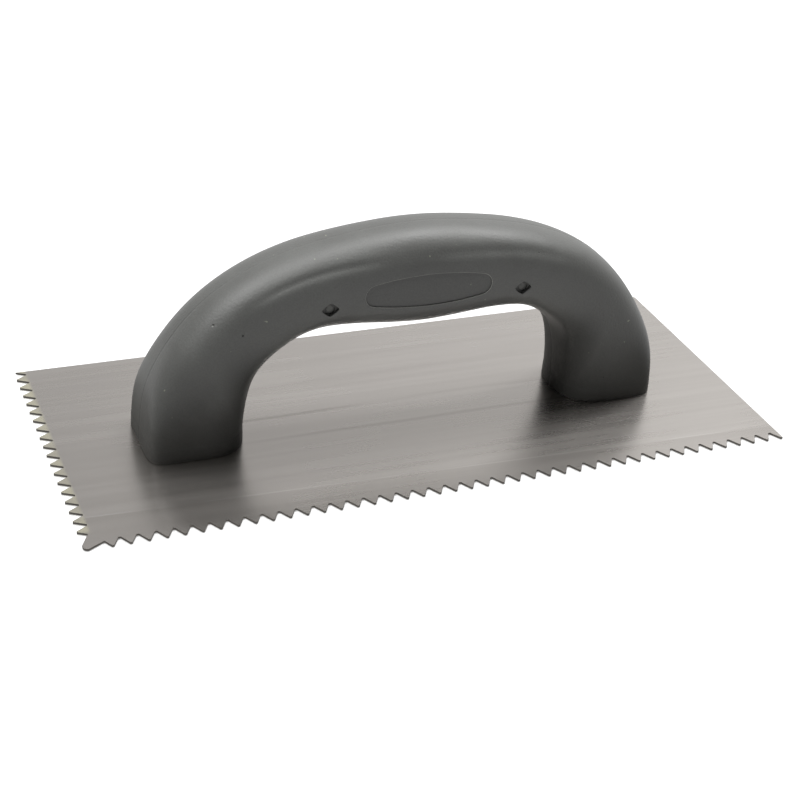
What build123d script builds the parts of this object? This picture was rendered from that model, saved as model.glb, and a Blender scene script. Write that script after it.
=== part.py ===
"""Notched trowel: a V-notched sheet-steel blade under a hollow two-piece loop handle.

Frame: millimetres, +Z up. The origin is the centre of the blade's underside, X runs along the blade
(the notched short edge is at -X) and Y across it (the notched long edge is at -Y).
"""

from build123d import *
import os
from math import cos, pi, radians, sin, tan

# ---------------------------------------------------------------- driving dimensions, mm
# Blade: 9 in x 4 in spring steel sheet
blade_length = 228.6
blade_width = 101.6
sheet = 0.7

# V notches, 60 degrees included, with flat tooth tips and rounded roots
notch_depth = 3.45
notch_mouth = 4.64
notch_angle = 60
root_radius = 0.3
long_edge_pitch = 5.235
long_edge_first_tip = 8.3  # from the doubly notched corner
long_edge_notches = 42
short_edge_pitch = 5.17
short_edge_first_tip = 9.04
short_edge_notches = 18

# The first notch on each side of the corner is shallower and leans, which leaves a blunt corner spike
corner_notch_depth = 2.6
corner_notch_lean = 61  # degrees, from square to the edge, of its side next to the spike
corner_notch_root = 0.3
corner_spike_radius = 1.3
plain_corner_radius = 1.0

# Handle: eight stations from a foot to the crown, mirrored to the other foot. Heights are above the
# blade's top face. Each gives the outer and inner points of the loop on its mid-plane, the half width,
# and how square the section's outer and inner halves are (2 is an ellipse, higher is squarer).
#    outer x, outer z, inner x, inner z, half width, outer squareness, inner squareness
handle_stations = (
    (85.6, 0.0, 54.6, 0.0, 14.8, 7.5, 3.3),  # foot
    (85.1, 12.5, 53.7, 12.5, 14.7, 6.0, 3.3),
    (83.1, 22.6, 51.7, 21.5, 14.5, 3.8, 3.2),  # outer wall starts to lean in
    (77.0, 34.5, 47.9, 27.7, 14.2, 3.0, 3.2),
    (64.8, 48.0, 42.0, 32.8, 14.0, 2.5, 3.2),  # shoulder
    (45.6, 58.4, 34.2, 36.2, 14.0, 2.5, 3.2),
    (23.0, 63.8, 20.5, 36.5, 14.0, 2.5, 3.4),
    (0.0, 65.8, 0.0, 35.0, 14.0, 2.5, 3.6),  # crown, over the palm swell
)
crown_lean = 0.5  # the crown sits this far towards the plain short edge, and the feet not at all
widest_at = 0.46  # share of a section's height, from its inner point, where it is widest
section_points = 15  # round half a section
fine_steps = 400
mid_plane_overrun = 0.5  # the half bodies are lofted this far past the mid-plane, then cut flat

wall = 3.0
skirt_proud = 0.3
skirt_height = 4.6
foot_web = 10.0  # solid plastic at the bottom of each foot
tongue_inset = 1.5  # the tongue is the inner half of the wall
tongue_height = 1.5
tongue_gap = 0.1

rib_spacing = 16.0
rib_count = 3
rib_thickness = 1.8
rib_gap = 1.8  # each rib stops this far short of the mid-plane

# Oval panel sunk in the front face, left blank: a lens shape with rounded tips
details_x = 1.0  # the panel and the cross screws are centred this far towards the plain short edge
panel_z = 48.5
panel_lens_length = 62.0  # before its tips are rounded, which leaves 41.6
panel_height = 10.5
panel_tip_radius = 3.6
panel_depth = 0.4

# Two cross screws clamp the halves together; diamond windows in the front show their tips
cross_screw_spread = 31.8  # from the middle of the panel
cross_screw_z = 45.6
cross_screw_radius = 1.75
cross_boss_radius = 4.6
cross_boss_reach = 12.5  # from the mid-plane into the wall
cross_clearance_radius = 1.95
cross_head_radius = 3.1
cross_head_height = 2.3
counterbore_radius = 3.5
cross_seat = 9.5  # from the mid-plane back to the underside of the head
cross_tip = 12.6  # from the mid-plane forward to the tip
cross_tip_chamfer = 0.6
head_round = 0.9
window_width = 5.4
window_height = 4.4
window_round = 0.9
window_floor = 12.9  # from the mid-plane

# Four M4 countersunk screws hold the blade, two to a foot, one in each half of the handle
foot_screw_x = 70.0
foot_screw_y = 7.2
m4_radius = 2.0
m4_length = 12.0
m4_head_radius = 3.9
m4_hole_radius = 2.2
m4_point = 0.4
driver_width = 0.9  # cross recess of every screw head
driver_length = 3.8
driver_depth = 1.3
driver_taper = 12
nut_width = 7.0
nut_height = 2.2
nut_base_z = 6.2
nut_slot_gap = 0.15
nut_chamfer = 0.4

fit_gap = 0.02  # between round faces that bear on each other
head_below_flush = 0.05

# ---------------------------------------------------------------- worked-out values
half_length = blade_length / 2
half_width = blade_width / 2
blade_top = Plane.XY.offset(sheet)
crown_height = handle_stations[-1][1]
skirt_share = skirt_height / handle_stations[1][1]  # of the way from the first station to the second
skirt_station = [a + (b - a) * skirt_share for a, b in zip(handle_stations[0], handle_stations[1])]
far = 2 * blade_width  # longer than anything it has to cut through
foot_screw_spots = [
    (sx * foot_screw_x, sy * foot_screw_y) for sx in (-1, 1) for sy in (-1, 1)
]
cross_screw_spots = [(details_x + sx * cross_screw_spread, sheet + cross_screw_z) for sx in (-1, 1)]
dimple_radius = m4_head_radius + head_below_flush
dimple_rise = sheet * 2**0.5  # height of the sheet where it leans at 45 degrees
dimple_top = dimple_radius - m4_hole_radius
dimple_foot_radius = dimple_radius + dimple_rise - sheet  # where the cone meets the sheet's top face
notch_align = (Align.CENTER, Align.MIN)
spike_corner = (-half_length, -half_width, sheet / 2)
plain_corner = (half_length, half_width, sheet / 2)


# ---------------------------------------------------------------- handle body
def half_outline(height, half, outer_power, inner_power):
    """Evenly spaced points of half a section, from its outer point round one side to its inner point.

    x runs across the handle and y from the inner point to the outer point.
    """
    below = widest_at * height
    above = height - below
    fine = []
    for k in range(fine_steps + 1):
        angle = pi / 2 - pi * k / fine_steps
        c, s = abs(round(cos(angle), 12)), abs(round(sin(angle), 12))
        power = outer_power if k < fine_steps / 2 else inner_power
        reach = above if k < fine_steps / 2 else -below
        fine.append(Vector(half * c ** (2 / power), below + reach * s ** (2 / power)))
    travelled = [0.0]
    for start, end in zip(fine, fine[1:]):
        travelled.append(travelled[-1] + (end - start).length)
    points = [fine[0]]
    for j in range(1, section_points):
        wanted = travelled[-1] * j / (section_points - 1)
        k = next(k for k, t in enumerate(travelled) if t >= wanted - 1e-9)
        share = (wanted - travelled[k - 1]) / (travelled[k] - travelled[k - 1])
        points.append(fine[k - 1] + (fine[k] - fine[k - 1]) * share)
    return points


def half_section(station, side, inset):
    """The front half of one section of the loop as a face, shrunk by inset all round."""
    outer_x, outer_z, inner_x, inner_z, half, outer_power, inner_power = station
    lean = crown_lean * outer_z / crown_height
    outer = Vector(side * outer_x + lean, 0, sheet + outer_z)
    inner = Vector(side * inner_x + lean, 0, sheet + inner_z)
    frontward = Vector(0, -1, 0)
    outward = (outer - inner).normalized()
    plane = Plane(origin=inner + outward * inset, x_dir=frontward, z_dir=frontward.cross(outward))
    height = (outer - inner).length - 2 * inset
    outline = half_outline(height, half - inset, outer_power, inner_power)
    with BuildSketch(plane) as face:
        with BuildLine():
            Spline(outline, tangents=[(1, 0), (-1, 0)])
            Polyline((0, 0), (-mid_plane_overrun, 0), (-mid_plane_overrun, height), (0, height))
        make_face()
    return face.sketch


def front_body(inset=0.0, floor=0.0):
    """The front half of the loop, inset from the handle's surface, above a height over the blade."""
    left = [half_section(station, -1, inset) for station in handle_stations]
    right = [half_section(station, 1, inset) for station in handle_stations[-2::-1]]
    with BuildPart() as body:
        loft(left + right)
        split(bisect_by=Plane.XZ, keep=Keep.TOP)
        if floor > 0:
            split(bisect_by=Plane.XY.offset(sheet + floor), keep=Keep.TOP)
    return body.part


def front_skirt():
    """The front half of the vertical-sided band round the bottom of each foot."""
    with BuildPart() as band:
        for side in (-1, 1):
            face = half_section(skirt_station, side, -skirt_proud)
            extrude(face, amount=skirt_height, dir=(0, 0, -1))
        split(bisect_by=Plane.XZ, keep=Keep.TOP)
    return band.part


def within(solid, depth):
    """The part of a front-half solid that lies within a depth of the mid-plane."""
    with BuildPart() as band:
        add(solid)
        split(bisect_by=Plane.XZ.offset(depth), keep=Keep.BOTTOM)
    return band.part


def front_ribs():
    """Cross ribs inside the front half of the grip, clipped to the hollow."""
    with BuildPart() as slabs:
        with BuildSketch(Plane.XZ.offset(rib_gap)):
            with GridLocations(rib_spacing, 1, rib_count, 1):
                Rectangle(rib_thickness, far)
        extrude(amount=far)
        add(front_hollow, mode=Mode.INTERSECT)
    return slabs.part


def foot_cuts():
    """What is cut from the front half of each foot: screw holes, dimple recesses and nut slots."""
    spots = [(side * foot_screw_x, -foot_screw_y) for side in (-1, 1)]
    slot_width = nut_width + 2 * nut_slot_gap
    slot_reach = foot_screw_y + slot_width / 2
    mouth = dimple_foot_radius + nut_slot_gap
    with BuildPart() as cuts:
        with BuildSketch(blade_top):
            with Locations(*spots):
                Circle(m4_hole_radius)
        extrude(amount=foot_web + 1)
        with BuildSketch(blade_top):
            with Locations(*spots):
                Circle(mouth)
        extrude(amount=mouth - m4_hole_radius - 0.01, taper=45)
        with BuildSketch(blade_top.offset(nut_base_z - nut_slot_gap)):
            with Locations(*[(side * foot_screw_x, -slot_reach / 2) for side in (-1, 1)]):
                Rectangle(slot_width, slot_reach)
        extrude(amount=nut_height + 2 * nut_slot_gap)
    return cuts.part


def half_shell():
    """What both halves of the handle share, in the front half's place."""
    with BuildPart() as shell:
        add(front_body())
        add(front_skirt())
        add(front_hollow, mode=Mode.SUBTRACT)
        add(front_ribs())
        with BuildSketch(Plane.XZ):
            with Locations(*cross_screw_spots):
                Circle(cross_boss_radius)
        extrude(amount=cross_boss_reach)
        add(foot_cuts(), mode=Mode.SUBTRACT)
    return shell.part


def cross_driver(plane):
    """The tapered cross recess of a screw head, cut along the plane's normal."""
    with BuildPart() as driver:
        with BuildSketch(plane):
            Rectangle(driver_length, driver_width)
            Rectangle(driver_width, driver_length)
        extrude(amount=driver_depth, taper=driver_taper)
    return driver.part


def corner_notch(first_tip):
    """Outline of the shallow leaning notch beside the corner spike: along the edge, then inwards."""
    tip_flat = long_edge_pitch - notch_mouth
    end = first_tip - tip_flat / 2
    root_end = end - corner_notch_depth / tan(radians(notch_angle))
    root_start = root_end - corner_notch_root
    start = root_start - corner_notch_depth * tan(radians(corner_notch_lean))
    return [(start, 0), (root_start, corner_notch_depth), (root_end, corner_notch_depth), (end, 0)]


def dimple():
    """The cone of sheet round one screw hole, at the origin."""
    profile = [
        (dimple_radius, 0),
        (m4_hole_radius, dimple_top),
        (m4_hole_radius, dimple_top + dimple_rise),
        (dimple_foot_radius, sheet),
        (dimple_foot_radius, 0),
    ]
    with BuildPart() as cone:
        with BuildSketch(Plane.XZ):
            with BuildLine():
                Polyline(*profile, close=True)
            make_face()
        revolve(axis=Axis.Z)
    return cone.part


def blade_screw():
    """A countersunk M4 screw standing head down on the underside, at the origin."""
    head_z = head_below_flush
    head_radius = m4_head_radius - fit_gap
    head_end = head_z + head_radius - m4_radius
    profile = [
        (0, head_z),
        (head_radius, head_z),
        (m4_radius, head_end),
        (m4_radius, m4_length),
        (0, m4_length),
    ]
    with BuildPart() as screw:
        with BuildSketch(Plane.XZ):
            with BuildLine():
                Polyline(*profile, close=True)
            make_face()
        revolve(axis=Axis.Z)
        chamfer(screw.faces().sort_by(Axis.Z)[-1].edges(), m4_point)
        add(cross_driver(Plane.XY.offset(head_z)), mode=Mode.SUBTRACT)
    return screw.part


def square_nut():
    """A thin square nut, centred on the origin, tapped for a blade screw."""
    with BuildPart() as nut:
        with BuildSketch():
            Rectangle(nut_width, nut_width)
            Circle(m4_radius + fit_gap, mode=Mode.SUBTRACT)
        extrude(amount=nut_height)
        chamfer(nut.edges().filter_by(GeomType.LINE).group_by(Axis.Z)[-1], nut_chamfer)
    return nut.part


def shell_screw():
    """A pan head screw along Y, head to the rear, its seat on the plane Y = cross_seat."""
    head_end = cross_seat + cross_head_height
    shank = cross_screw_radius - fit_gap
    profile = [
        (0, head_end),
        (cross_head_radius, head_end),
        (cross_head_radius, cross_seat),
        (shank, cross_seat),
        (shank, cross_tip_chamfer - cross_tip),
        (shank - cross_tip_chamfer, -cross_tip),
        (0, -cross_tip),
    ]
    with BuildPart() as screw:
        with BuildSketch(Plane.XY):
            with BuildLine():
                Polyline(*profile, close=True)
            make_face()
        revolve(axis=Axis.Y)
        fillet(screw.faces().sort_by(Axis.Y)[-1].edges(), head_round)
        add(cross_driver(Plane.XZ.offset(-head_end)), mode=Mode.SUBTRACT)
    return screw.part


def panel_recess():
    """What is cut from the front face for the oval panel, a thin slice that follows the face."""
    half_lens = panel_lens_length / 2
    with BuildPart() as recess:
        with BuildSketch(Plane.XZ):
            with BuildLine():
                ThreePointArc((-half_lens, 0), (0, panel_height / 2), (half_lens, 0))
                ThreePointArc((half_lens, 0), (0, -panel_height / 2), (-half_lens, 0))
            lens = make_face()
            fillet(lens.vertices(), panel_tip_radius)
        extrude(amount=far)
    placed = recess.part.moved(Location((details_x, 0, sheet + panel_z)))
    return placed - front_body(panel_depth)


def diamond_windows():
    """What is cut from the front face for the two diamond windows, down to the screw tips."""
    w, h = window_width / 2, window_height / 2
    with BuildPart() as windows:
        with BuildSketch(Plane.XZ.offset(window_floor)):
            with Locations(*cross_screw_spots):
                Polygon((-w, 0), (0, -h), (w, 0), (0, h))
        extrude(amount=far)
        fillet(windows.edges().filter_by(Axis.Y).group_by(Axis.Z)[-1], window_round)
    return windows.part


front_hollow = front_body(wall, foot_web)
shared_half = half_shell()
tongue = within(front_body(tongue_inset, foot_web) - front_hollow, tongue_height)
groove = within(
    front_body(tongue_inset - tongue_gap, foot_web - tongue_gap) - front_hollow, tongue_height + tongue_gap
)

# ---------------------------------------------------------------- blade
with BuildPart() as blade:
    with BuildSketch():
        Rectangle(blade_length, blade_width)
        first = long_edge_first_tip + long_edge_pitch / 2 - half_length
        with Locations(*[(first + k * long_edge_pitch, -half_width) for k in range(long_edge_notches)]):
            Trapezoid(notch_mouth, notch_depth, notch_angle, align=notch_align, mode=Mode.SUBTRACT)
        first = short_edge_first_tip + short_edge_pitch / 2 - half_width
        with Locations(*[(-half_length, first + k * short_edge_pitch) for k in range(short_edge_notches)]):
            Trapezoid(
                notch_mouth, notch_depth, notch_angle, rotation=-90, align=notch_align, mode=Mode.SUBTRACT
            )
        beside = [(a - half_length, b - half_width) for a, b in corner_notch(long_edge_first_tip)]
        above = [(b - half_length, a - half_width) for a, b in corner_notch(short_edge_first_tip)]
        for outline in (beside, above):
            with BuildLine():
                Polyline(*outline, close=True)
            make_face(mode=Mode.SUBTRACT)
        with Locations(*foot_screw_spots):
            Circle(dimple_foot_radius, mode=Mode.SUBTRACT)
    extrude(amount=sheet)
    # soften the notch roots, the corner spike and the plain corner
    uprights = blade.edges().filter_by(Axis.Z)
    root_y = notch_depth - half_width
    root_x = notch_depth - half_length
    roots = uprights.filter_by_position(Axis.Y, root_y - 0.01, root_y + 0.01)
    roots += uprights.filter_by_position(Axis.X, root_x - 0.01, root_x + 0.01)
    fillet(roots, root_radius)
    fillet(blade.edges().filter_by(Axis.Z).sort_by_distance(spike_corner)[0], corner_spike_radius)
    fillet(blade.edges().filter_by(Axis.Z).sort_by_distance(plain_corner)[0], plain_corner_radius)
    # the sheet rises in a cone round each screw hole
    with Locations(*foot_screw_spots):
        add(dimple())
blade.part.label = "blade"

# ---------------------------------------------------------------- handle halves
with BuildPart() as front_handle_shell:
    add(shared_half)
    with BuildSketch(Plane.XZ):
        with Locations(*cross_screw_spots):
            Circle(cross_screw_radius)
    extrude(amount=window_floor, mode=Mode.SUBTRACT)
    add(diamond_windows(), mode=Mode.SUBTRACT)
    add(panel_recess(), mode=Mode.SUBTRACT)
    mirror(tongue, about=Plane.XZ)
front_handle_shell.part.label = "front_handle_shell"

with BuildPart() as rear_handle_shell:
    add(shared_half)
    add(groove, mode=Mode.SUBTRACT)
    with BuildSketch(Plane.XZ):
        with Locations(*cross_screw_spots):
            Circle(cross_clearance_radius)
    extrude(amount=far, mode=Mode.SUBTRACT)
    with BuildSketch(Plane.XZ.offset(cross_seat)):
        with Locations(*cross_screw_spots):
            Circle(counterbore_radius)
    extrude(amount=far, mode=Mode.SUBTRACT)
    mirror(about=Plane.XZ, mode=Mode.REPLACE)
rear_handle_shell.part.label = "rear_handle_shell"

# ---------------------------------------------------------------- fasteners
with BuildPart() as shell_screws:
    with Locations(*[(x, 0, z) for x, z in cross_screw_spots]):
        add(shell_screw())
shell_screws.part.label = "shell_screws"

with BuildPart() as blade_screws:
    with Locations(*foot_screw_spots):
        add(blade_screw())
blade_screws.part.label = "blade_screws"

with BuildPart() as square_nuts:
    with Locations(*[(x, y, sheet + nut_base_z) for x, y in foot_screw_spots]):
        add(square_nut())
square_nuts.part.label = "square_nuts"

# ---------------------------------------------------------------- hand-over
os.makedirs("parts", exist_ok=True)
for piece in (blade, front_handle_shell, rear_handle_shell, shell_screws, blade_screws, square_nuts):
    export_step(piece.part, f"parts/{piece.part.label}.step")
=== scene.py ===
"""Looks of the notched trowel: moulded handle halves, rolled-steel blade and screws, on a pale floor.

Metres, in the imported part's frame: the origin is the centre of the blade's underside, X runs along the
blade (its notched short edge is at -X), Y across it (its notched long edge is at -Y) and Z is up.
Driving dimensions are in millimetres, times MM.
"""

from math import cos, pi, radians, sin

import bmesh
import bpy
import numpy as np
from mathutils import Matrix, Vector
from mathutils.bvhtree import BVHTree


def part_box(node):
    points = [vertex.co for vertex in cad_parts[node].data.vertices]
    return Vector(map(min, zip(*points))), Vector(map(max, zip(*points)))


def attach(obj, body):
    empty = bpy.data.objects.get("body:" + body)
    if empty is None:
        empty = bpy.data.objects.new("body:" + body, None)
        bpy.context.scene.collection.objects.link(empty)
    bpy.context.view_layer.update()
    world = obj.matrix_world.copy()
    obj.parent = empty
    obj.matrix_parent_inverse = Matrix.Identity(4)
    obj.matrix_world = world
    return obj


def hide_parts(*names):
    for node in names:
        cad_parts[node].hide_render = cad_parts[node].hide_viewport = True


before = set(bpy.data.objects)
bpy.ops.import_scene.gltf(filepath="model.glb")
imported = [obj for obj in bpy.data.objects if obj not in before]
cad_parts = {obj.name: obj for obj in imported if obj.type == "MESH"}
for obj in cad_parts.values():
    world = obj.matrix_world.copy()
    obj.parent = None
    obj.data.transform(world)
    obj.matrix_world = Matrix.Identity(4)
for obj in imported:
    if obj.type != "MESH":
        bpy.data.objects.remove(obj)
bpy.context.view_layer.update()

MM = 0.001

# ---------------------------------------------------------------- places taken from the frame
blade_low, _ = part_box("blade")
front_low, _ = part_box("front_handle_shell")
screw_low, screw_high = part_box("shell_screws")
SHEET = front_low.z  # the handle stands on the blade's top face
CROSS_HEAD_RADIUS = (screw_high.z - screw_low.z) / 2
CROSS_X = [screw_low.x + CROSS_HEAD_RADIUS, screw_high.x - CROSS_HEAD_RADIUS]
CROSS_Z = (screw_high.z + screw_low.z) / 2

# ---------------------------------------------------------------- handle dimensions
# Stations from a foot to the crown, mirrored to the other foot, in mm above the blade's top face: the
# loop's outer and inner points on the mid-plane, the half width, and how square its two halves are.
STATIONS = (
    (86.0, 0.0, 54.3, 0.0, 14.8, 7.5, 2.5),
    (85.5, 12.5, 53.45, 12.5, 14.7, 6.0, 2.5),
    (83.3, 22.6, 51.5, 21.5, 14.5, 3.9, 2.6),
    (77.0, 34.5, 47.8, 27.7, 14.2, 3.0, 2.85),
    (64.8, 48.0, 42.0, 32.8, 14.0, 2.5, 3.2),
    (45.6, 58.4, 34.2, 36.2, 14.0, 2.5, 3.2),
    (23.0, 63.8, 20.5, 36.5, 14.0, 2.5, 3.4),
    (0.0, 65.8, 0.0, 35.0, 14.0, 2.5, 3.6),
)
CROWN_LEAN = 0.5  # mm towards +X at the crown, none at the feet
WIDEST_AT = 0.46  # share of a section's height, from its inner point
SECTION_SAMPLES = 801  # fine points from which the even ones are taken
COLUMNS = 60  # even points round half a section
EVEN_FROM = 1.2  # mm from the mid-plane, where the even points start
SEAM_STEPS = (0.0, 0.1, 0.22, 0.4, 0.7)  # mm from the mid-plane, where the points crowd
FOOT_ROUND = 0.2
FOOT_TUCK = 0.4  # how far a foot's lowest edge draws in, as a share of FOOT_ROUND
# Rows of points in mm along the loop from a foot: crowded at the floor and at the top of the skirt
FOOT_ROWS = (0, FOOT_ROUND / 3, FOOT_ROUND, 1, 2, 3, 4, 4.35, 4.5, 4.65, 4.8, 5.0, 5.5)
EVEN_ROWS_FROM = 6.2
ROW_STEP = 0.9
SEAM_REACH = 0.3  # mm from the mid-plane, over which the parting edge is rounded
SEAM_ROUND = 0.05
SEAM_GROOVE = 0.07  # depth of a fine groove beside the parting line, on the front half
GROOVE_AT = 0.3
GROOVE_HALF_WIDTH = 0.25
SKIRT_PROUD = 0.20
SKIRT_DRAFT = 0.12  # the part of it that tapers off towards the top
SKIRT_HEIGHT = 4.6
SKIRT_BLEND = 0.3
SKIRT_ROWS = 20  # no more rows than this belong to one skirt
INSET = 0.08  # the visible skin lies this far inside the CAD one, so that its unevenness stays within it

PANEL_X = 1.0
PANEL_Z = 48.5
PANEL_LENS_LENGTH = 62.0
PANEL_HEIGHT = 10.5
PANEL_TIP_RADIUS = 3.6
PANEL_DEPTH = 0.45
WINDOW_WIDTH = 5.4
WINDOW_HEIGHT = 4.4
WINDOW_DEPTH = 0.9
WINDOW_FLOOR = 12.9  # floors are given in mm from the mid-plane
DIAMOND_POWER = 1.25  # 1 has sharp corners, 2 is an ellipse
DIAMOND_POINTS = 48
PILOT_RADIUS = 1.77
PILOT_PROFILE = ((0, -1.5), (0, -0.5))
PILOT_FLOOR = 12.5
COUNTERBORE_RADIUS = 3.5
COUNTERBORE_DEPTH = 1.0
COUNTERBORE_FLOOR = 9.5
RIM_ROUND = 0.16
RIM_RINGS = 4  # the last steps of rim_profile, which make the rounded rim
FILL_SHARES = (0.8, 0.6, 0.4, 0.2)  # rings that close the end of a recess
RAY_START = 0.05  # metres from the mid-plane, outside the handle
# Small moulding pits in the front half: X, height above the blade, radius
PITS = ((-57.9, 40.4, 0.36), (-66.0, 43.0, 0.22), (38.0, 56.0, 0.2), (66.0, 9.0, 0.2))
PIT_POINTS = 14

# Sink marks of the front half: shallow flutes along the loop, each as (middle in X, half length in X,
# share of the way round the half section, half width as such a share, depth in mm)
FLUTES = (
    (-34.0, 19.0, 0.299, 0.026, 0.45),
    (24.0, 24.0, 0.295, 0.034, 0.35),
    (48.0, 16.0, 0.400, 0.060, 0.12),
    (-66.0, 14.0, 0.45, 0.10, 0.10),
)
WAVES = 0.045  # mm, the gentle unevenness of the moulded faces
KEEP_SHARP = 40  # degrees, an edge that bends more stays crisp


# ---------------------------------------------------------------- mesh helpers
def new_object(name, points, faces):
    """A mesh object from points in metres."""
    mesh = bpy.data.meshes.new(name)
    mesh.from_pydata([tuple(p) for p in points], [], [tuple(f) for f in faces])
    mesh.validate()
    piece = bpy.data.objects.new(name, mesh)
    bpy.context.scene.collection.objects.link(piece)
    return piece


def shade(piece, angle):
    """Smooth shading, with edges sharper than an angle in degrees kept crisp."""
    piece.data.shade_smooth()
    piece.data.set_sharp_from_angle(angle=radians(angle))


def carve(piece, tools):
    """Cuts closed tool meshes out of a piece and deletes the tools."""
    for tool in tools:
        cut = piece.modifiers.new("cut", "BOOLEAN")
        cut.operation = "DIFFERENCE"
        cut.solver = "EXACT"
        cut.material_mode = "TRANSFER"
        cut.object = tool
    depsgraph = bpy.context.evaluated_depsgraph_get()
    carved = bpy.data.meshes.new_from_object(piece.evaluated_get(depsgraph))
    piece.modifiers.clear()
    piece.data = carved
    for tool in tools:
        bpy.data.objects.remove(tool)


# ---------------------------------------------------------------- handle surface
def spline_through(knots, values, at):
    """Natural cubic spline through rows of values at increasing knots."""
    h = np.diff(knots)
    n = len(knots)
    system = np.eye(n)
    right = np.zeros_like(values)
    for k in range(1, n - 1):
        system[k, k - 1 : k + 2] = h[k - 1], 2 * (h[k - 1] + h[k]), h[k]
        slopes = (values[k + 1] - values[k]) / h[k] - (values[k] - values[k - 1]) / h[k - 1]
        right[k] = 6 * slopes
    bend = np.linalg.solve(system, right)
    k = np.clip(np.searchsorted(knots, at, side="right") - 1, 0, n - 2)
    a = ((knots[k + 1] - at) / h[k])[:, None]
    b = 1 - a
    curve = ((a**3 - a) * bend[k] + (b**3 - b) * bend[k + 1]) * (h[k] ** 2)[:, None] / 6
    return a * values[k] + b * values[k + 1] + curve


def loop_stations():
    """The stations at every row of the mesh, from the left foot (-X) over the crown to the right foot."""
    left = np.array(STATIONS)
    left[:, [0, 2]] *= -1
    right = np.array(STATIONS)[-2::-1]
    knots_at = np.vstack([left, right])
    middle = np.column_stack([knots_at[:, 0] + knots_at[:, 2], knots_at[:, 1] + knots_at[:, 3]]) / 2
    knots = np.concatenate([[0], np.cumsum(np.hypot(*np.diff(middle, axis=0).T))])
    foot_rows = np.array(FOOT_ROWS)
    inner_rows = np.arange(EVEN_ROWS_FROM, knots[-1] - EVEN_ROWS_FROM, ROW_STEP)
    at = np.concatenate([foot_rows, inner_rows, knots[-1] - foot_rows[::-1]])
    return spline_through(knots, knots_at, at)


def half_section(height, half, outer_power, inner_power):
    """Half a section, from its outer point round one side to its inner point.

    Gives each point's place across and out, its way from the outer point, and the whole way.
    """
    angle = np.linspace(pi / 2, -pi / 2, SECTION_SAMPLES)
    c, s = np.abs(np.cos(angle)), np.abs(np.sin(angle))
    outer = angle > 0
    power = np.where(outer, outer_power, inner_power)
    reach = np.where(outer, (1 - WIDEST_AT) * height, -WIDEST_AT * height)
    across = half * c ** (2 / power)
    across[[0, -1]] = 0
    out = WIDEST_AT * height + reach * s ** (2 / power)
    travelled = np.concatenate([[0], np.cumsum(np.hypot(np.diff(across), np.diff(out)))])
    total = travelled[-1]
    seam = np.array(SEAM_STEPS)
    even = np.linspace(EVEN_FROM, total - EVEN_FROM, COLUMNS)
    at = np.concatenate([seam, even, total - seam[::-1]])
    return np.interp(at, travelled, across), np.interp(at, travelled, out), at, total


def smooth_step(low, high, value):
    """0 up to low, 1 from high, and smooth between."""
    t = np.clip((value - low) / (high - low), 0, 1)
    return t * t * (3 - 2 * t)


def sink_marks(x, share):
    """Depth in mm of the flutes at points with these X and shares of the way round the section."""
    depth = np.zeros_like(x)
    for middle, half_length, centre, half_width, deep in FLUTES:
        fade = np.exp(-(((x - middle) / half_length) ** 4))
        depth += deep * fade * np.exp(-(((share - centre) / half_width) ** 2))
    return depth


def unevenness(x, z, share):
    """Low waves of a moulded face, 10 to 30 mm long, in mm."""
    long_waves = np.sin(x / 4.3 + 5 * share) * np.cos(z / 5.1 + 1.0)
    short_waves = 0.7 * np.sin(x / 2.1 - z / 2.9 + 9 * share)
    waves = long_waves + short_waves
    return WAVES * waves * np.sin(pi * share) ** 2


def skin_points(side):
    """Rows of points of one half's surface in mm, their way to the seam, and their share of the way round."""
    crown = STATIONS[-1][1]
    grid, seam_distance, share = [], [], []
    for outer_x, outer_z, inner_x, inner_z, half, outer_power, inner_power in loop_stations():
        direction = np.array([outer_x - inner_x, 0, outer_z - inner_z])
        height = np.linalg.norm(direction)
        direction /= height
        across, out, at, total = half_section(height, half, outer_power, inner_power)
        inner = np.array([inner_x + CROWN_LEAN * outer_z / crown, 0, inner_z])
        grid.append(inner + out[:, None] * direction + across[:, None] * np.array([0, side, 0]))
        seam_distance.append(np.minimum(at, total - at))
        share.append(at / total)
    return np.array(grid), np.array(seam_distance), np.array(share)


def square_skirt(grid):
    """Makes both skirts vertical: their rows repeat the section at their top."""
    for rows_up in (range(len(grid)), range(len(grid) - 1, -1, -1)):
        first = rows_up[0]
        below = [k for k in rows_up if grid[k, 0, 2] < SKIRT_HEIGHT and abs(k - first) < SKIRT_ROWS]
        top = grid[below[-1] + (1 if first == 0 else -1)]
        for k in below:
            grid[k, :, :2] = top[:, :2]


def skin_push(grid, seam_distance, share, side):
    """How far in mm each point moves out along its normal: skirt, rounds, seam, waves and flutes."""
    x, _, z = np.moveaxis(grid, 2, 0)
    draft = SKIRT_DRAFT * np.clip(1 - z / SKIRT_HEIGHT, 0, 1)
    over_skirt = smooth_step(SKIRT_HEIGHT - SKIRT_BLEND, SKIRT_HEIGHT + SKIRT_BLEND, z)
    push = (SKIRT_PROUD - SKIRT_DRAFT) * (1 - over_skirt) + draft
    push -= FOOT_ROUND * FOOT_TUCK * (1 - smooth_step(0, FOOT_ROUND, z))
    push -= SEAM_ROUND * np.clip(1 - seam_distance / SEAM_REACH, 0, 1) ** 2
    push += unevenness(x, z, share) - INSET
    if side < 0:
        push -= SEAM_GROOVE * np.exp(-(((seam_distance - GROOVE_AT) / GROOVE_HALF_WIDTH) ** 2))
        push -= sink_marks(x, share)
    return push


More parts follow.
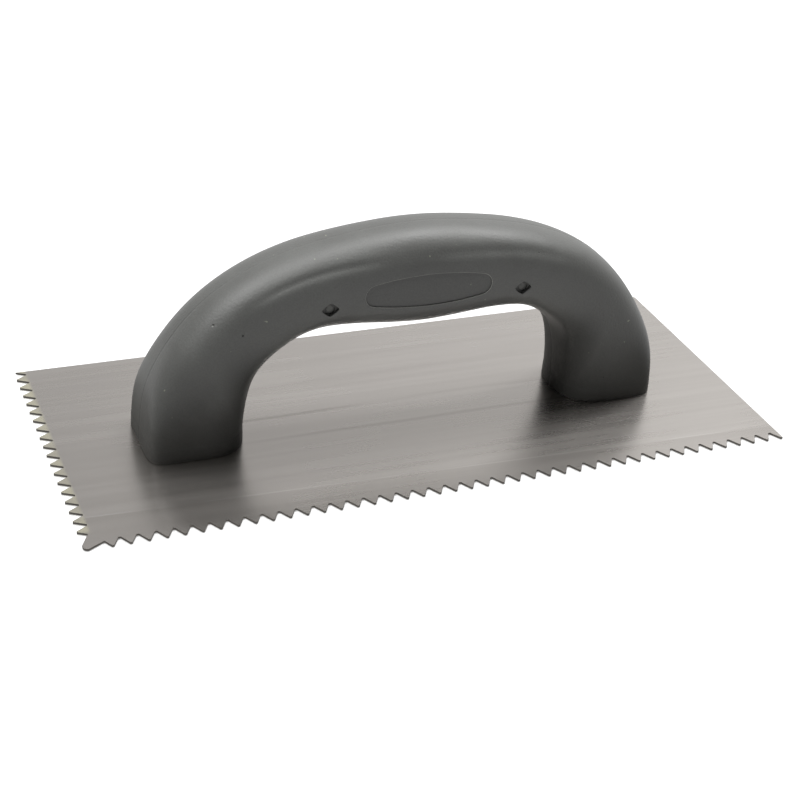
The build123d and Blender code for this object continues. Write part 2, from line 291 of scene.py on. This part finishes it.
def skin_faces(n_rows, n_columns, side):
    """Faces of a half from its grid of points: the surface, the mid-plane strips and the foot bottoms."""
    index = np.arange(n_rows * n_columns).reshape(n_rows, n_columns)
    a, b = index[:-1, :-1].ravel(), index[1:, :-1].ravel()
    c, d = index[1:, 1:].ravel(), index[:-1, 1:].ravel()
    faces = list(zip(a, d, c, b)) if side < 0 else list(zip(a, b, c, d))
    middle = list(zip(index[:-1, 0], index[1:, 0], index[1:, -1], index[:-1, -1]))
    faces += middle if side < 0 else [f[::-1] for f in middle]
    for foot in (index[0], index[-1][::-1]):
        faces.append(tuple(foot) if side < 0 else tuple(foot[::-1]))
    return faces


def moulded_half(name, side):
    """One half of the handle as a closed mesh: its outer surface, mid-plane face and foot bottoms.

    side is -1 for the front half and 1 for the rear half.
    """
    grid, seam_distance, share = skin_points(side)
    square_skirt(grid)
    along = np.gradient(grid, axis=0)
    round_section = np.gradient(grid, axis=1)
    normal = np.cross(along, round_section) * side
    normal /= np.linalg.norm(normal, axis=2, keepdims=True)
    moved = grid + normal * skin_push(grid, seam_distance, share, side)[:, :, None]
    moved[:, [0, -1], 1] = 0
    moved[[0, -1], :, 2] = 0
    points = moved.reshape(-1, 3) * MM + np.array([0, 0, SHEET])
    return new_object(name, points, skin_faces(*grid.shape[:2], side))


# ---------------------------------------------------------------- recesses in the handle
def oval_outline():
    """The panel's outline, anticlockwise in X and Z about its own middle, in mm: two arcs and two tips."""
    half, rise = PANEL_LENS_LENGTH / 2, PANEL_HEIGHT / 2
    big = (half**2 + rise**2) / (2 * rise)
    tip = ((big - PANEL_TIP_RADIUS) ** 2 - (big - rise) ** 2) ** 0.5
    turn = np.arctan2(big - rise, tip)  # where a tip meets the long arc, seen from the arc's centre
    upper = np.linspace(turn, pi - turn, 41)
    left = np.linspace(pi - turn, pi + turn, 15)[1:-1]
    top = np.column_stack([big * np.cos(upper), big * np.sin(upper) - (big - rise)])
    end = np.column_stack([PANEL_TIP_RADIUS * np.cos(left) - tip, PANEL_TIP_RADIUS * np.sin(left)])
    return np.vstack([top, end, -top, -end])


def diamond_outline():
    """The window's outline in mm: a flat diamond with its corners a little rounded."""
    angle = np.linspace(0, 2 * pi, DIAMOND_POINTS, endpoint=False)
    c, s = np.cos(angle), np.sin(angle)
    x = WINDOW_WIDTH / 2 * np.sign(c) * np.abs(c) ** (2 / DIAMOND_POWER)
    z = WINDOW_HEIGHT / 2 * np.sign(s) * np.abs(s) ** (2 / DIAMOND_POWER)
    return np.column_stack([x, z])


def circle_outline(radius, count=40):
    """A circle's outline in mm, anticlockwise in X and Z."""
    angle = np.linspace(0, 2 * pi, count, endpoint=False)
    return radius * np.column_stack([np.cos(angle), np.sin(angle)])


def outward_normals(outline):
    """Unit vectors out of an anticlockwise outline, one at each point."""
    edge = np.roll(outline, -1, axis=0) - np.roll(outline, 1, axis=0)
    normal = np.column_stack([edge[:, 1], -edge[:, 0]])
    return normal / np.linalg.norm(normal, axis=1, keepdims=True)


def recess_tool(body, outline, centre, side, profile, finishes, floor=None):
    """A closed tool that sinks an outline into one face of the handle.

    outline is in mm round its centre (x, z) in metres. profile lists rings as (growth of the outline,
    height over the face) in mm, from the floor out; floor, where given, is the bottom ring's flat
    distance from the mid-plane in mm.
    """
    tree = BVHTree.FromObject(body, bpy.context.evaluated_depsgraph_get())

    def face_y(x, z):
        hit = tree.ray_cast(Vector((x, side * RAY_START, z)), Vector((0, -side, 0)))[0]
        return side * hit.y / MM

    normals = outward_normals(outline)
    rings = []
    for growth, rise in profile:
        ring = centre + (outline + normals * growth) * MM
        heights = [face_y(x, z) + rise for x, z in ring]
        rings.append([(x, side * h * MM, z) for (x, z), h in zip(ring, heights)])
    if floor is not None:
        rings[0] = [(x, side * floor * MM, z) for x, _, z in rings[0]]
    count = len(outline)
    points = [p for ring in rings for p in ring]
    faces = []
    for k in range(len(rings) - 1):
        for j in range(count):
            i = (j + 1) % count
            faces.append((k * count + j, k * count + i, (k + 1) * count + i, (k + 1) * count + j))
    # both ends are filled by rings shrinking to the middle, so that a floor can follow a curved face
    for end, rise in ((0, profile[0][1]), (len(rings) - 1, profile[-1][1])):
        flat = floor is not None and end == 0
        previous = [end * count + j for j in range(count)]
        for share in FILL_SHARES:
            start = len(points)
            ring = centre + outline * share * MM
            for x, z in ring:
                height = floor if flat else face_y(x, z) + rise
                points.append((x, side * height * MM, z))
            for j in range(count):
                i = (j + 1) % count
                faces.append((previous[j], previous[i], start + i, start + j))
            previous = list(range(start, start + count))
        x, z = centre
        height = floor if flat else face_y(x, z) + rise
        points.append((x, side * height * MM, z))
        for j in range(count):
            faces.append((previous[j], previous[(j + 1) % count], len(points) - 1))
    tool = new_object("tool", points, faces)
    used = list(dict.fromkeys(finishes.values()))
    for finish in used:
        tool.data.materials.append(finish)
    steps = len(rings) - 1
    for face in tool.data.polygons:
        ring = face.index // count
        if ring < 1 or ring >= steps:
            part = "floor"
        elif ring < steps - RIM_RINGS:
            part = "wall"
        else:
            part = "rim"
        face.material_index = used.index(finishes[part])
    turn_outward(tool)
    return tool


def turn_outward(piece):
    """Makes every face of a closed mesh point outwards."""
    work = bmesh.new()
    work.from_mesh(piece.data)
    bmesh.ops.recalc_face_normals(work, faces=work.faces)
    work.to_mesh(piece.data)
    work.free()


def rim_profile(depth):
    """Rings of a recess with a small round at its floor and its rim."""
    r = RIM_ROUND
    return [
        (-0.5 * r, -depth),
        (-0.15 * r, -depth + 0.3 * r),
        (0.0, -depth + r),
        (0.0, -r),
        (0.3 * r, -0.3 * r),
        (r, 0.0),
        (2 * r, 0.25 * r),
        (2 * r, 2.0),
    ]


def front_half(plastic, panel, rim_highlight, recess_shade):
    """The front half with its blank oval panel and the two windows onto the screw tips."""
    body = moulded_half("front_grip_half", -1)
    body.data.materials.append(plastic)
    # the panel's floor is painted a little darker, its walls are painted shade and its rim a painted
    # highlight
    finishes = {"floor": panel, "wall": recess_shade, "rim": rim_highlight}
    centre = np.array([PANEL_X * MM, SHEET + PANEL_Z * MM])
    tools = [recess_tool(body, oval_outline(), centre, -1, rim_profile(PANEL_DEPTH), finishes)]
    # the windows' floors and walls are painted shade
    dark = {"floor": recess_shade, "wall": recess_shade, "rim": plastic}
    for cross_x in CROSS_X:
        centre = np.array([cross_x, CROSS_Z])
        outline = diamond_outline()
        tools.append(recess_tool(body, outline, centre, -1, rim_profile(WINDOW_DEPTH), dark, WINDOW_FLOOR))
        outline = circle_outline(PILOT_RADIUS)
        tools.append(recess_tool(body, outline, centre, -1, PILOT_PROFILE, dark, PILOT_FLOOR))
    # the pits are painted shade all over
    pitted = {"floor": recess_shade, "wall": recess_shade, "rim": recess_shade}
    for pit_x, pit_z, radius in PITS:
        centre = np.array([pit_x * MM, SHEET + pit_z * MM])
        profile = [(-0.4 * radius, -0.8 * radius), (0, -0.1 * radius), (0.1 * radius, 1.0)]
        outline = circle_outline(radius, PIT_POINTS)
        tools.append(recess_tool(body, outline, centre, -1, profile, pitted))
    carve(body, tools)
    shade(body, KEEP_SHARP)
    return body


def rear_half(plastic, recess_shade):
    """The rear half with its counterbores for the screw heads."""
    body = moulded_half("rear_grip_half", 1)
    body.data.materials.append(plastic)
    # the counterbores' floors are painted shade
    finishes = {"floor": recess_shade, "wall": plastic, "rim": plastic}
    tools = []
    for cross_x in CROSS_X:
        centre = np.array([cross_x, CROSS_Z])
        outline = circle_outline(COUNTERBORE_RADIUS)
        profile = rim_profile(COUNTERBORE_DEPTH)
        tools.append(recess_tool(body, outline, centre, 1, profile, finishes, COUNTERBORE_FLOOR))
    carve(body, tools)
    shade(body, KEEP_SHARP)
    return body


# ---------------------------------------------------------------- blade
EDGE_ROUND = 0.06 * MM
SAME_POINT = 1e-6  # metres
ONE_FACE = 1  # degrees, faces that bend less are joined into one
LEVEL = 0.999  # upward part of a normal: a face above this is the sheet's flat top or underside
NOT_SHEARED = 0.95  # and a face below this belongs to a sheared or rounded edge


def soft_edged_blade(steel, sheared_steel):
    """The blade with every edge rounded a little, and a duller finish where it was sheared."""
    piece = bpy.data.objects.new("notched_sheet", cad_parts["blade"].data.copy())
    bpy.context.scene.collection.objects.link(piece)
    piece.data.materials.clear()
    piece.data.materials.append(steel)
    piece.data.materials.append(sheared_steel)
    work = bmesh.new()
    work.from_mesh(piece.data)
    bmesh.ops.remove_doubles(work, verts=work.verts, dist=SAME_POINT)
    bmesh.ops.dissolve_limit(work, angle_limit=radians(ONE_FACE), verts=work.verts, edges=work.edges)
    corners = [e for e in work.edges if e.is_manifold and e.calc_face_angle() > radians(KEEP_SHARP)]
    bmesh.ops.bevel(work, geom=corners, offset=EDGE_ROUND, segments=2, profile=0.5, affect="EDGES")
    for face in work.faces:
        steepness = abs(face.normal.z)
        face.smooth = steepness < LEVEL
        # whatever rises above the sheet's top, the dimples, keeps the finish of the sheet
        face.material_index = int(steepness < NOT_SHEARED and face.calc_center_median().z < SHEET)
    bmesh.ops.triangulate(work, faces=[f for f in work.faces if len(f.verts) > 4])
    work.to_mesh(piece.data)
    work.free()
    return piece


# ---------------------------------------------------------------- materials
RANGE_KEYS = ("From Min", "From Max", "To Min", "To Max")


class Nodes:
    """Short names for building a node material."""

    def __init__(self, name):
        self.material = bpy.data.materials.new(name)
        self.material.use_nodes = True
        self.tree = self.material.node_tree
        self.tree.nodes.clear()
        self.shader = self.add("ShaderNodeBsdfPrincipled")
        output = self.add("ShaderNodeOutputMaterial")
        self.link(self.shader.outputs["BSDF"], output.inputs["Surface"])
        self.place = self.add("ShaderNodeTexCoord").outputs["Object"]

    def add(self, kind, **settings):
        node = self.tree.nodes.new(kind)
        for key, value in settings.items():
            setattr(node, key, value)
        return node

    def link(self, source, target):
        self.tree.links.new(source, target)

    def stretched(self, scale, turn=0.0):
        """Coordinates scaled along X, Y and Z and turned about Z, in degrees."""
        node = self.add("ShaderNodeMapping")
        node.inputs["Scale"].default_value = scale
        node.inputs["Rotation"].default_value = (0, 0, radians(turn))
        self.link(self.place, node.inputs["Vector"])
        return node.outputs["Vector"]

    def noise(self, scale, where=None, detail=2.0, roughness=0.5):
        node = self.add("ShaderNodeTexNoise")
        node.inputs["Scale"].default_value = scale
        node.inputs["Detail"].default_value = detail
        node.inputs["Roughness"].default_value = roughness
        self.link(where or self.place, node.inputs["Vector"])
        return node.outputs["Fac"]

    def ramp(self, value, low, high, to_low=0.0, to_high=1.0):
        """A smooth step from to_low, where the value is low, to to_high, where it is high."""
        node = self.add("ShaderNodeMapRange", interpolation_type="SMOOTHSTEP")
        self.link(value, node.inputs["Value"])
        for key, number in zip(RANGE_KEYS, (low, high, to_low, to_high)):
            node.inputs[key].default_value = number
        return node.outputs["Result"]

    def math(self, operation, a, b=None, c=None):
        """A sum on numbers or sockets."""
        node = self.add("ShaderNodeMath", operation=operation)
        for socket, value in zip(node.inputs, (a, b, c)):
            if value is None:
                continue
            if isinstance(value, (int, float)):
                socket.default_value = value
            else:
                self.link(value, socket)
        return node.outputs[0]

    def mix(self, amount, first, second):
        """Mixes two colours, each a tuple or a socket."""
        node = self.add("ShaderNodeMix", data_type="RGBA")
        sockets = [s for s in node.inputs if s.type == "RGBA"]
        self.link(amount, node.inputs["Factor"])
        for socket, colour in zip(sockets, (first, second)):
            if isinstance(colour, tuple):
                socket.default_value = (*colour, 1)
            else:
                self.link(colour, socket)
        return next(s for s in node.outputs if s.type == "RGBA")

    def axes(self):
        """X, Y and Z of the place in metres."""
        node = self.add("ShaderNodeSeparateXYZ")
        self.link(self.place, node.inputs["Vector"])
        return node.outputs["X"], node.outputs["Y"], node.outputs["Z"]

    def bump(self, height, distance):
        """A normal from a height, where distance in metres is the height of 1."""
        node = self.add("ShaderNodeBump")
        node.inputs["Strength"].default_value = 1.0
        node.inputs["Distance"].default_value = distance
        self.link(height, node.inputs["Height"])
        return node.outputs["Normal"]

    def set(self, **values):
        """Sets plain values of the shader; an underscore stands for a space in a socket's name."""
        for key, value in values.items():
            self.shader.inputs[key.replace("_", " ")].default_value = value


SPECK = (0.32, 0.33, 0.26)
GRAIN_DARK = 0.6  # the tone in the grain's hollows, as a share of the dark tone
FEET_DARK = 0.35  # the painted darkening of the feet: its tone as such a share, and its most
FEET_MOST = 0.75
FEET_SWAY = 0.012  # metres by which its upper border wanders


def handle_plastic(name, dark, light, gloss=(0.42, 0.52)):
    """Satin moulded plastic: fine grain, cloudy gloss, a few pale specks."""
    n = Nodes(name)
    clouds = n.noise(45, detail=4)
    grain = n.noise(2400, detail=2)
    specks = n.noise(700, detail=0)
    tone = n.mix(n.ramp(clouds, 0.35, 0.65), dark, light)
    tone = n.mix(n.ramp(grain, 0.35, 0.65, 0.0, 0.25), tone, tuple(GRAIN_DARK * c for c in dark))
    tone = n.mix(n.ramp(specks, 0.865, 0.90, 0.0, 0.6), tone, SPECK)
    # The feet are painted darker and duller than the grip, most of all on their inner sides, because
    # these lights alone leave them too pale. It is not wear, and it stays under any other light.
    x, _, z = n.axes()
    dim = n.math("ADD", z, n.math("MULTIPLY", clouds, FEET_SWAY))
    dim = n.ramp(dim, SHEET + 4 * MM, SHEET + 42 * MM, FEET_MOST, 0.0)
    inward = n.ramp(n.math("ABSOLUTE", x), 53 * MM, 70 * MM, FEET_MOST, 0.0)
    low = n.ramp(z, SHEET + 22 * MM, SHEET + 40 * MM, 1.0, 0.0)
    dim = n.math("MAXIMUM", dim, n.math("MULTIPLY", inward, low))
    tone = n.mix(dim, tone, tuple(FEET_DARK * c for c in dark))
    n.link(n.ramp(dim, 0.0, FEET_MOST, 0.5, 0.2), n.shader.inputs["Specular IOR Level"])
    n.link(tone, n.shader.inputs["Base Color"])
    n.link(n.ramp(clouds, 0.3, 0.7, *gloss), n.shader.inputs["Roughness"])
    n.set(IOR=1.5)
    fine = n.bump(n.noise(1400, detail=3), 0.08 * MM)
    n.link(fine, n.shader.inputs["Normal"])
    return n.material


# The blade's marks in mm: roll lines as (Y at X -100, Y at X +100, half width, strength), and the crease
# as its Y at X 0 and its slope
ROLL_LINES = (
    (2.5, 4.5, 1.5, 0.42),
    (-10.0, -8.5, 1.4, 0.25),
    (22.0, 23.0, 2.5, 0.10),
    (-24.0, -25.0, 2.5, 0.08),
)
ROLL_LINES_SPAN = 200
CREASE_Y = -39.4
CREASE_SLOPE = -0.0345
STEEL = ((0.605, 0.572, 0.540), (0.635, 0.602, 0.570))
GRAIN_STEEL = (0.42, 0.39, 0.36)
ROLL_LINE_STEEL = (0.30, 0.275, 0.25)
# painted shade in front of the crease, and painted highlight along it
CREASE_SHADE_STEEL = (0.36, 0.33, 0.30)
CREASE_HIGHLIGHT_STEEL = (0.74, 0.71, 0.68)
SCRATCHED_STEEL = (0.75, 0.72, 0.69)
STAINED_STEEL = (0.88, 0.84, 0.66)
STEEL_GRAIN = 1e-7  # metres
SCRATCHES = ((14, 61), (-23, 83))  # each as its turn in degrees and its scale


def blade_steel():
    """Cold-rolled sheet: a blurred mirror with its grain along X, roll marks and handling scratches."""
    n = Nodes("rolled_steel")
    streaks = n.noise(1.0, n.stretched((9, 420, 420)), detail=3)
    fine = n.noise(1.0, n.stretched((260, 3600, 3600)), detail=3, roughness=0.6)
    clouds = n.noise(14, detail=4)
    tone = n.mix(n.ramp(streaks, 0.25, 0.75), *STEEL)
    tone = n.mix(n.ramp(fine, 0.3, 0.7, 0.0, 0.05), tone, GRAIN_STEEL)
    # marks along X: faint dark roll lines, and along the crease a line of painted highlight with a strip of
    # painted shade in front of it
    x, y, _ = n.axes()
    broken = n.ramp(n.noise(1.0, n.stretched((16, 60, 60)), detail=1), 0.3, 0.6)
    inside = n.ramp(n.math("ABSOLUTE", x), 45 * MM, 80 * MM, 1.0, 0.0)
    broken = n.math("MULTIPLY", broken, inside)
    waver = n.math("MULTIPLY", n.math("SUBTRACT", n.noise(30, detail=1), 0.5), 1.2 * MM)
    for at_left, at_right, half_width, strength in ROLL_LINES:
        slope = (at_right - at_left) / ROLL_LINES_SPAN
        line = n.math("MULTIPLY_ADD", x, slope, (at_left + at_right) / 2 * MM)
        off = n.math("ABSOLUTE", n.math("ADD", n.math("SUBTRACT", y, line), waver))
        line = n.ramp(off, 0.0, half_width * MM, strength, 0.0)
        tone = n.mix(n.math("MULTIPLY", line, broken), tone, ROLL_LINE_STEEL)
    crease = n.math("MULTIPLY_ADD", x, CREASE_SLOPE, CREASE_Y * MM)
    ahead = n.math("SUBTRACT", crease, y)  # how far a point lies in front of the crease
    tone = n.mix(n.ramp(ahead, 0.0, 1.0 * MM, 0.0, 0.13), tone, CREASE_SHADE_STEEL)
    patchy = n.ramp(n.noise(60, detail=2), 0.35, 0.6, 0.1, 0.6)
    on_crease = n.ramp(n.math("ABSOLUTE", ahead), 0.0, 0.4 * MM, 1.0, 0.0)
    tone = n.mix(n.math("MULTIPLY", on_crease, patchy), tone, CREASE_HIGHLIGHT_STEEL)
    # short handling scratches: thin crests of two stretched noises, turned either way
    for turn, scale in SCRATCHES:
        thin = n.noise(1.0, n.stretched((scale, 1300, 1300), turn), detail=0)
        here = n.ramp(n.noise(scale, detail=0), 0.62, 0.70)
        crest = n.ramp(thin, 0.76, 0.82, 0.0, 0.06)
        tone = n.mix(n.math("MULTIPLY", crest, here), tone, SCRATCHED_STEEL)
    # the short row of teeth is paler and a little yellow, but not the spike in the near corner
    teeth = n.ramp(x, blade_low.x + 2.6 * MM, blade_low.x + 4.2 * MM, 1.0, 0.0)
    teeth = n.math("MULTIPLY", teeth, n.ramp(y, -44.5 * MM, -41.5 * MM))
    stain = n.ramp(n.noise(110, detail=2), 0.35, 0.65, 0.55, 1.0)
    tone = n.mix(n.math("MULTIPLY", teeth, stain), tone, STAINED_STEEL)
    n.link(tone, n.shader.inputs["Base Color"])
    rough = n.ramp(streaks, 0.3, 0.7, 0.25, 0.265)
    rough = n.math("ADD", rough, n.ramp(clouds, 0.3, 0.7, 0.0, 0.025))
    n.link(rough, n.shader.inputs["Roughness"])
    n.set(Metallic=1.0, Anisotropic=0.2)
    tangent = n.add("ShaderNodeCombineXYZ")
    tangent.inputs["Y"].default_value = 1.0
    n.link(tangent.outputs["Vector"], n.shader.inputs["Tangent"])
    n.link(n.bump(fine, STEEL_GRAIN), n.shader.inputs["Normal"])
    return n.material


def screw_steel(name, dark, light, gloss=(0.28, 0.42)):
    """Plated fastener steel, a little cloudy."""
    n = Nodes(name)
    clouds = n.noise(500, detail=3)
    n.link(n.mix(n.ramp(clouds, 0.3, 0.7), dark, light), n.shader.inputs["Base Color"])
    n.link(n.ramp(clouds, 0.3, 0.7, *gloss), n.shader.inputs["Roughness"])
    n.set(Metallic=1.0)
    n.link(n.bump(n.noise(2500), 0.01 * MM), n.shader.inputs["Normal"])
    return n.material


def floor_paper():
    """White studio paper, lit evenly by itself so that it stays pale right up to the blade."""
    n = Nodes("studio_paper")
    tone = n.mix(n.ramp(n.noise(3), 0.3, 0.7), (0.60, 0.60, 0.60), (0.62, 0.62, 0.62))
    n.link(tone, n.shader.inputs["Base Color"])
    n.set(Roughness=0.9, Emission_Strength=0.35, Emission_Color=(1, 1, 1, 1))
    return n.material


# ---------------------------------------------------------------- camera and light
CAMERA_TARGET = Vector((1.6, 2.8, 0.7)) * MM
CAMERA_DISTANCE = 559 * MM
CAMERA_AZIMUTH = -24.1  # degrees
CAMERA_ELEVATION = 30.5
CAMERA_ROLL = -4.85
CAMERA_LENS = 77.2
SENSOR_WIDTH = 36

WORLD_TOWARDS = (0.50, 0.70, -0.55)  # where the pale wall is brightest
WORLD_SPREAD = (0.0, 0.85)  # cosine to that direction, where the wall begins and where it is brightest
WORLD_DIM = 0.02
WORLD_BRIGHT = 1.12
GROUND_GLOW = 1.0  # what the paper sends back up to the object
HORIZON = 0.02
FLOOR_HALF_SIDE = 8.0
FLOOR_DROP = 0.0002  # keeps the paper clear of the blade's underside
# Softboxes: name, place and size in metres, power in watts
SOFTBOXES = (
    ("left_softbox", (-0.6, 0.04, 1.0), (0.6, 0.6), 11.5),
    ("middle_softbox", (0.0, 0.22, 1.0), (0.6, 0.44), 5.0),
    ("right_softbox", (0.6, 0.22, 1.0), (0.6, 0.4), 12.0),
)


def place_camera():
    """The scene's camera, from its target, distance and angles."""
    azimuth, elevation = radians(CAMERA_AZIMUTH), radians(CAMERA_ELEVATION)
    back = Vector((sin(azimuth) * cos(elevation), -cos(azimuth) * cos(elevation), sin(elevation)))
    lens = bpy.data.cameras.new("camera")
    lens.lens = CAMERA_LENS
    lens.sensor_width = SENSOR_WIDTH
    lens.clip_start, lens.clip_end = 0.01, 20
    camera = bpy.data.objects.new("camera", lens)
    bpy.context.scene.collection.objects.link(camera)
    level = (-back).to_track_quat("-Z", "Y").to_matrix()
    rolled = level @ Matrix.Rotation(radians(-CAMERA_ROLL), 3, "Z")
    camera.matrix_world = Matrix.Translation(CAMERA_TARGET + back * CAMERA_DISTANCE) @ rolled.to_4x4()
    bpy.context.scene.camera = camera


def softbox(name, place, size, power):
    """An area light facing straight down; size is along X and Y."""
    light = bpy.data.lights.new(name, "AREA")
    light.shape = "RECTANGLE"
    light.size, light.size_y = size
    light.energy = power
    lamp = bpy.data.objects.new(name, light)
    bpy.context.scene.collection.objects.link(lamp)
    lamp.location = place


def studio_world():
    """A dim room with a broad pale wall beyond the object, brightest low down on the right."""
    world = bpy.data.worlds.new("studio")
    world.use_nodes = True
    bpy.context.scene.world = world
    tree = world.node_tree
    background = tree.nodes["Background"]
    where = tree.nodes.new("ShaderNodeTexCoord").outputs["Generated"]
    dot = tree.nodes.new("ShaderNodeVectorMath")
    dot.operation = "DOT_PRODUCT"
    dot.inputs[1].default_value = Vector(WORLD_TOWARDS).normalized()
    tree.links.new(where, dot.inputs[0])
    spread = tree.nodes.new("ShaderNodeMapRange")
    spread.interpolation_type = "SMOOTHSTEP"
    for key, number in zip(RANGE_KEYS, (*WORLD_SPREAD, WORLD_DIM, WORLD_BRIGHT)):
        spread.inputs[key].default_value = number
    tree.links.new(dot.outputs["Value"], spread.inputs["Value"])
    height = tree.nodes.new("ShaderNodeSeparateXYZ")
    tree.links.new(where, height.inputs["Vector"])
    ground = tree.nodes.new("ShaderNodeMapRange")
    for key, number in zip(RANGE_KEYS, (HORIZON, -HORIZON, 0.0, 1.0)):
        ground.inputs[key].default_value = number
    tree.links.new(height.outputs["Z"], ground.inputs["Value"])
    both = tree.nodes.new("ShaderNodeMix")
    tree.links.new(ground.outputs["Result"], both.inputs["Factor"])
    tree.links.new(spread.outputs["Result"], both.inputs["A"])
    both.inputs["B"].default_value = GROUND_GLOW
    tree.links.new(both.outputs["Result"], background.inputs["Strength"])
    background.inputs["Color"].default_value = (1, 1, 1, 1)


def paper_floor():
    """A large sheet of paper under the object, which is only seen by the camera."""
    side, z = FLOOR_HALF_SIDE, -FLOOR_DROP
    points = [(-side, -side, z), (side, -side, z), (side, side, z), (-side, side, z)]
    plane = new_object("studio_floor", points, [(0, 1, 2, 3)])
    plane.data.materials.append(floor_paper())
    plane.visible_diffuse = False  # its glow comes from studio_world, evenly
    plane.visible_glossy = False


# ---------------------------------------------------------------- assembly
def stand_for(piece, node):
    """Shows a piece in place of a CAD node."""
    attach(piece, "root")
    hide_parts(node)


def dress(node, material):
    """Gives a CAD node that stays in view its finish."""
    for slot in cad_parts[node].material_slots:
        slot.material = material


# Finishes: darkest and lightest tone, and for some the roughness
RECESS_AND_RIM_ROUGHNESS = (0.5, 0.6)
SHEARED = (0.55, 0.68)
plastic = handle_plastic("moulded_grey_plastic", (0.103, 0.104, 0.099), (0.117, 0.119, 0.113))
# painted highlight: a lighter copy of the plastic for the rounded rim round the oval panel
rim_highlight = handle_plastic("rim_highlight_plastic", (0.22, 0.22, 0.205), (0.28, 0.28, 0.26), RECESS_AND_RIM_ROUGHNESS)
# painted shade: a darker copy of the plastic for the hollows of the panel, windows, pits and counterbores
recess_shade = handle_plastic("recess_shade_plastic", (0.07, 0.07, 0.066), (0.09, 0.09, 0.085), RECESS_AND_RIM_ROUGHNESS)
# painted shade: the sunk panel's floor is a slightly darker copy of the plastic
panel = handle_plastic("shaded_panel_plastic", (0.085, 0.086, 0.082), (0.098, 0.099, 0.095))
stand_for(front_half(plastic, panel, rim_highlight, recess_shade), "front_handle_shell")
stand_for(rear_half(plastic, recess_shade), "rear_handle_shell")
sheared = screw_steel("sheared_steel_edge", (0.11, 0.103, 0.094), (0.16, 0.15, 0.136), SHEARED)
stand_for(soft_edged_blade(blade_steel(), sheared), "blade")
zinc = screw_steel("zinc_plated_steel", (0.5, 0.49, 0.46), (0.66, 0.65, 0.6))
dress("blade_screws", zinc)
dress("square_nuts", zinc)
dress("shell_screws", screw_steel("blackened_steel", (0.05, 0.05, 0.048), (0.09, 0.09, 0.085)))

place_camera()
paper_floor()
studio_world()
for box in SOFTBOXES:
    softbox(*box)
bpy.context.scene.view_settings.view_transform = "Standard"
